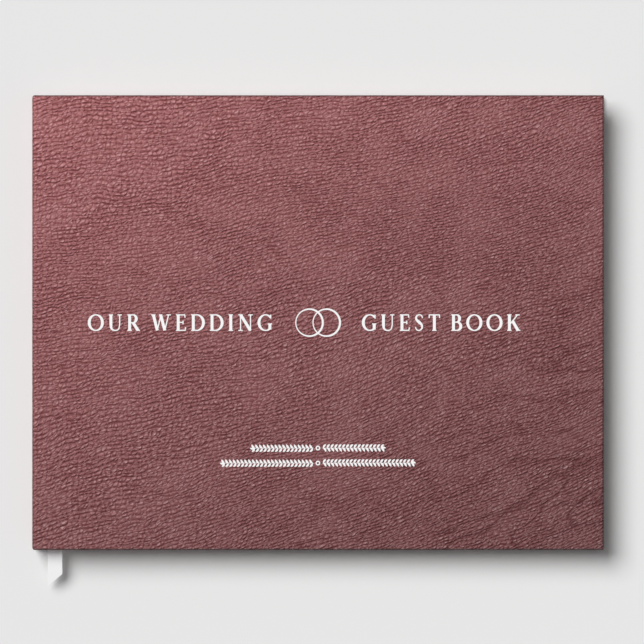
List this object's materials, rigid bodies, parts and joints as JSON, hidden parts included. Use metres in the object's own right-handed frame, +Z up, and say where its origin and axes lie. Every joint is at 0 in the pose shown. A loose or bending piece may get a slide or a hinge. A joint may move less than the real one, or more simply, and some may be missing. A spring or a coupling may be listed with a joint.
{
  "type": "wedding guest book",
  "caption": "Landscape hardcover guest book with a leather-covered case, sewn gatherings of blank pages, endpapers, head and tail bands and a satin ribbon page marker.",
  "frame": {"origin": "under the middle of the closed book, on the surface that it lies on", "axes": "+X from the spine to the fore-edge, +Y from the tail to the head, +Z up through the closed book to the front cover"},
  "size_m": [0.2794, 0.2402, 0.0175],
  "materials": {
    "leather": "fine creased grain, soft sheen",
    "greyboard": "raw board",
    "endpaper": "smooth uncoated",
    "page_paper": "uncoated",
    "sewing_thread": "waxed cotton",
    "lining_cloth": "open weave",
    "band_cotton": "woven, striped",
    "white_satin": "satin",
    "white_foil": "pressed white foil"
  },
  "bodies": {
    "back_half": {"back_cover_leather": "leather", "back_board": "greyboard", "back_pastedown": "endpaper", "back_joint_leather": "leather", "back_flyleaf": "endpaper", "gathering_8": "page_paper", "gathering_7": "page_paper", "gathering_6": "page_paper", "gathering_5": "page_paper", "spine_lining": "lining_cloth", "sewing_thread_1": "sewing_thread", "sewing_thread_2": "sewing_thread", "sewing_thread_3": "sewing_thread", "sewing_thread_4": "sewing_thread", "head_band": "band_cotton", "tail_band": "band_cotton", "page_marker_ribbon": "white_satin"},
    "spine_panel": {"spine_leather": "leather", "spine_board": "greyboard", "front_joint_leather": "leather"},
    "front_cover": {"front_cover_leather": "leather", "front_board": "greyboard", "front_pastedown": "endpaper"},
    "front_flyleaf": {"front_flyleaf": "endpaper"},
    "gathering_1": {"gathering_1": "page_paper"},
    "gathering_2": {"gathering_2": "page_paper"},
    "gathering_3": {"gathering_3": "page_paper"},
    "gathering_4": {"gathering_4": "page_paper"}
  },
  "joints": [
    {"name": "spine_panel_hinge", "type": "hinge", "parent": "back_half", "child": "spine_panel", "pos_m": [-0.1365, 0, 0.0032], "axis": [0, -1, 0], "range_deg": [0, 90], "deforming": ["back_joint_leather"]},
    {"name": "front_cover_hinge", "type": "hinge", "parent": "spine_panel", "child": "front_cover", "pos_m": [-0.1365, 0, 0.0143], "axis": [0, -1, 0], "range_deg": [0, 90], "deforming": ["front_joint_leather"]},
    {"name": "front_flyleaf_hinge", "type": "hinge", "parent": "back_half", "child": "front_flyleaf", "pos_m": [-0.1365, 0, 0.00875], "axis": [0, -1, 0], "range_deg": [0, 180]},
    {"name": "gathering_1_hinge", "type": "hinge", "parent": "back_half", "child": "gathering_1", "pos_m": [-0.1365, 0, 0.00875], "axis": [0, -1, 0], "range_deg": [0, 180]},
    {"name": "gathering_2_hinge", "type": "hinge", "parent": "back_half", "child": "gathering_2", "pos_m": [-0.1365, 0, 0.00875], "axis": [0, -1, 0], "range_deg": [0, 180]},
    {"name": "gathering_3_hinge", "type": "hinge", "parent": "back_half", "child": "gathering_3", "pos_m": [-0.1365, 0, 0.00875], "axis": [0, -1, 0], "range_deg": [0, 180]},
    {"name": "gathering_4_hinge", "type": "hinge", "parent": "back_half", "child": "gathering_4", "pos_m": [-0.1365, 0, 0.00875], "axis": [0, -1, 0], "range_deg": [0, 180], "deforming": ["spine_lining", "sewing_thread_1", "sewing_thread_2", "sewing_thread_3", "sewing_thread_4", "head_band", "tail_band"]}
  ],
  "couplings": [
    {"joint": "spine_panel_hinge", "follows": "front_cover_hinge", "ratio": 1},
    {"joint": "front_flyleaf_hinge", "follows": "front_cover_hinge", "ratio": 1.99},
    {"joint": "gathering_1_hinge", "follows": "front_cover_hinge", "ratio": 1.98},
    {"joint": "gathering_2_hinge", "follows": "front_cover_hinge", "ratio": 1.97},
    {"joint": "gathering_3_hinge", "follows": "front_cover_hinge", "ratio": 1.96},
    {"joint": "gathering_4_hinge", "follows": "front_cover_hinge", "ratio": 1.95}
  ]
}
